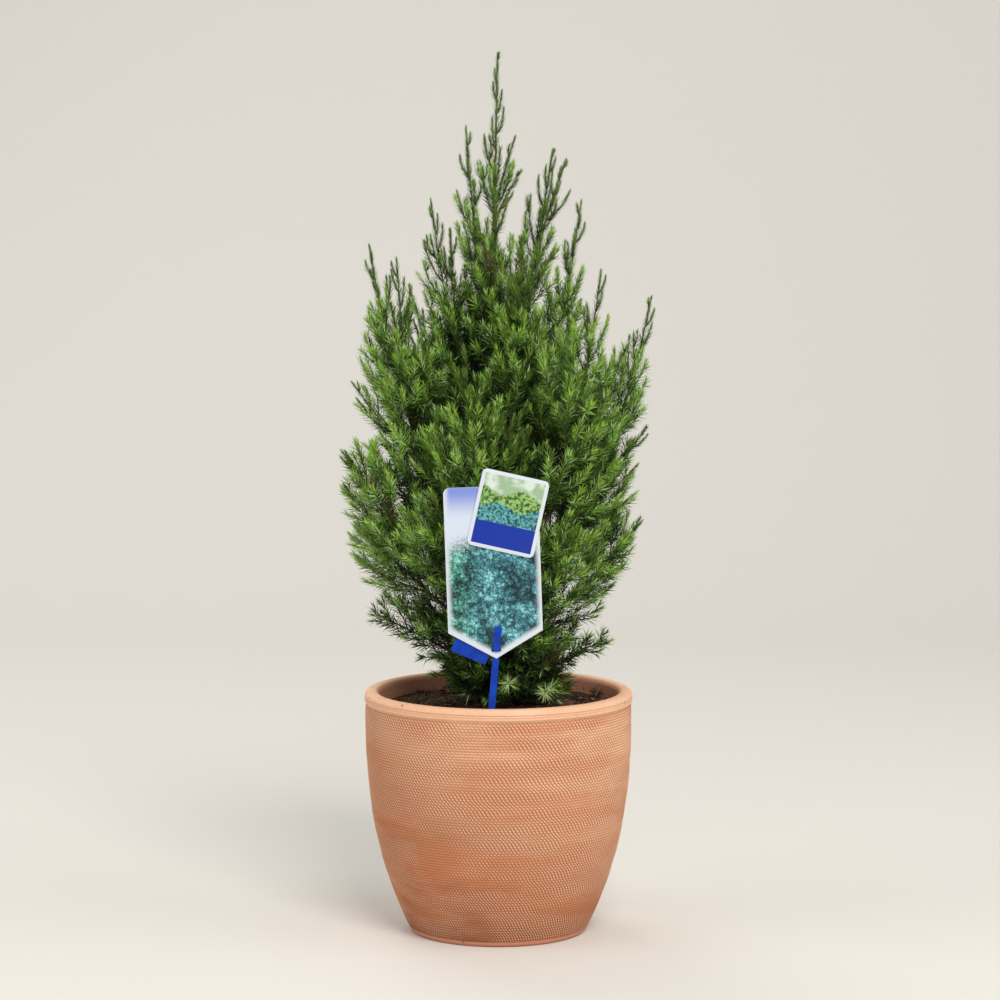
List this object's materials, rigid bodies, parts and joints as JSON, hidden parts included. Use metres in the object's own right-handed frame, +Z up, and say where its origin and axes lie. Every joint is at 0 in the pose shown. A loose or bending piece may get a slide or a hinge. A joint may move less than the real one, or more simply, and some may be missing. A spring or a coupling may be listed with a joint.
{
  "type": "potted conical juniper",
  "caption": "Young conical juniper with needled plumes round an upright trunk, in a round unglazed clay pot of soil with a plain plant label on a strip.",
  "frame": {"origin": "middle of the pot's flat underside", "axes": "+Z up along the pot's axis and the trunk, +X to the right of the label's face, and the label faces -Y"},
  "size_m": [0.2483, 0.2364, 0.697],
  "materials": {
    "pot": "matte",
    "soil": "matte",
    "bark": "matte",
    "foliage": "matte",
    "label_card": "satin",
    "label_blue": "satin"
  },
  "bodies": {
    "root": {"bough_lower_1": "bark", "bough_lower_2": "bark", "bough_lower_3": "bark", "bough_lower_4": "bark", "bough_lower_5": "bark", "bough_lower_6": "bark", "bough_lower_7": "bark", "bough_middle_1": "bark", "bough_middle_2": "bark", "bough_middle_3": "bark", "bough_middle_4": "bark", "bough_middle_5": "bark", "bough_middle_6": "bark", "bough_skirt_1": "bark", "bough_skirt_2": "bark", "bough_skirt_3": "bark", "bough_skirt_4": "bark", "bough_skirt_5": "bark", "bough_skirt_6": "bark", "bough_top_1": "bark", "bough_top_2": "bark", "bough_top_3": "bark", "bough_upper_1": "bark", "bough_upper_2": "bark", "bough_upper_3": "bark", "bough_upper_4": "bark", "foliage_leader": "foliage", "foliage_lower_1": "foliage", "foliage_lower_2": "foliage", "foliage_lower_3": "foliage", "foliage_lower_4": "foliage", "foliage_lower_5": "foliage", "foliage_lower_6": "foliage", "foliage_lower_7": "foliage", "foliage_middle_1": "foliage", "foliage_middle_2": "foliage", "foliage_middle_3": "foliage", "foliage_middle_4": "foliage", "foliage_middle_5": "foliage", "foliage_middle_6": "foliage", "foliage_skirt_1": "foliage", "foliage_skirt_2": "foliage", "foliage_skirt_3": "foliage", "foliage_skirt_4": "foliage", "foliage_skirt_5": "foliage", "foliage_skirt_6": "foliage", "foliage_top_1": "foliage", "foliage_top_2": "foliage", "foliage_top_3": "foliage", "foliage_upper_1": "foliage", "foliage_upper_2": "foliage", "foliage_upper_3": "foliage", "foliage_upper_4": "foliage", "label_card": "label_card", "label_small_card": "label_card", "label_strip": "label_blue", "label_tab": "label_blue", "pot": "pot", "soil": "soil", "trunk": "bark"}
  },
  "joints": []
}
